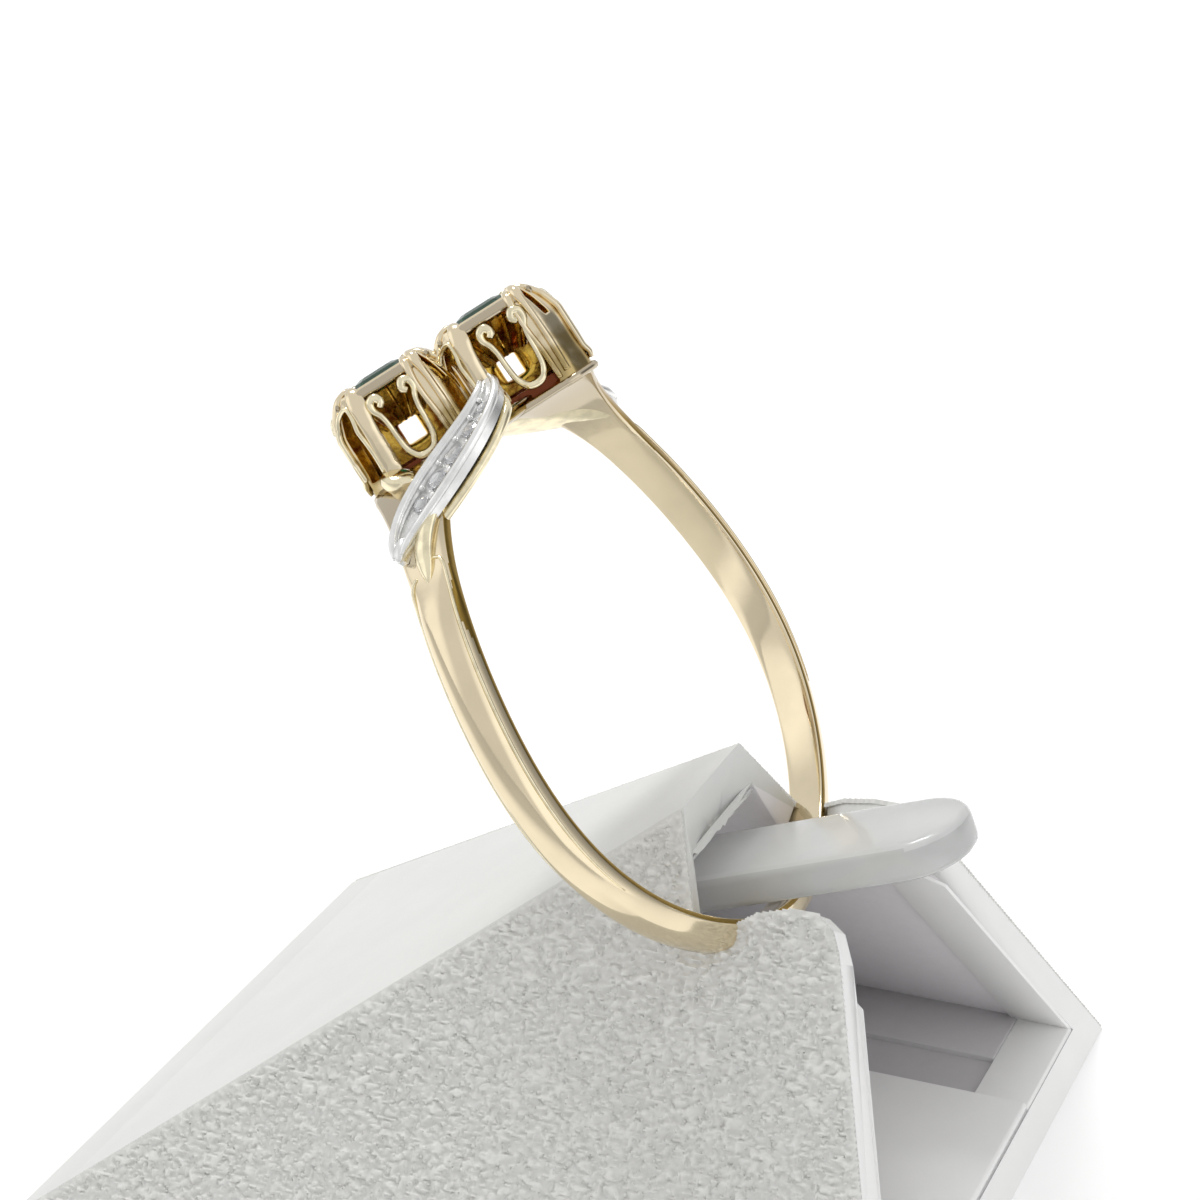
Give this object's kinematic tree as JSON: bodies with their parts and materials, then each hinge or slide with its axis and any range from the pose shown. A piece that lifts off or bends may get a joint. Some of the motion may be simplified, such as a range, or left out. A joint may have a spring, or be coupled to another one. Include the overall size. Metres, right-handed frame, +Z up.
{
  "type": "emerald ring on a display stand",
  "caption": "Yellow gold crossover ring with emeralds in open bezels and diamond-set leaves, upright in the slot of a small wedge display stand.",
  "frame": {"origin": "centre of the bounding box at the flat base of the stand", "axes": "+Z up, +X from the stand's sloping front towards its open back, +Y across the stand"},
  "size_m": [0.0292, 0.023, 0.0285],
  "materials": {
    "yellow_gold": "polished yellow gold",
    "white_gold": "polished white gold",
    "emerald": "faceted green stone",
    "diamond": "faceted colourless stone",
    "stand_cover": "white pebbled leatherette",
    "clear_plastic": "frosted clear plastic"
  },
  "bodies": {
    "root": {"ring_body": "yellow_gold", "left_leaf": "white_gold", "right_leaf": "white_gold", "left_emerald": "emerald", "right_emerald": "emerald", "left_diamond_1": "diamond", "left_diamond_2": "diamond", "left_diamond_3": "diamond", "left_diamond_4": "diamond", "left_diamond_5": "diamond", "right_diamond_1": "diamond", "right_diamond_2": "diamond", "right_diamond_3": "diamond", "right_diamond_4": "diamond", "right_diamond_5": "diamond", "stand_base": "stand_cover", "stand_shell": "stand_cover", "ring_tongue": "clear_plastic"}
  },
  "joints": []
}
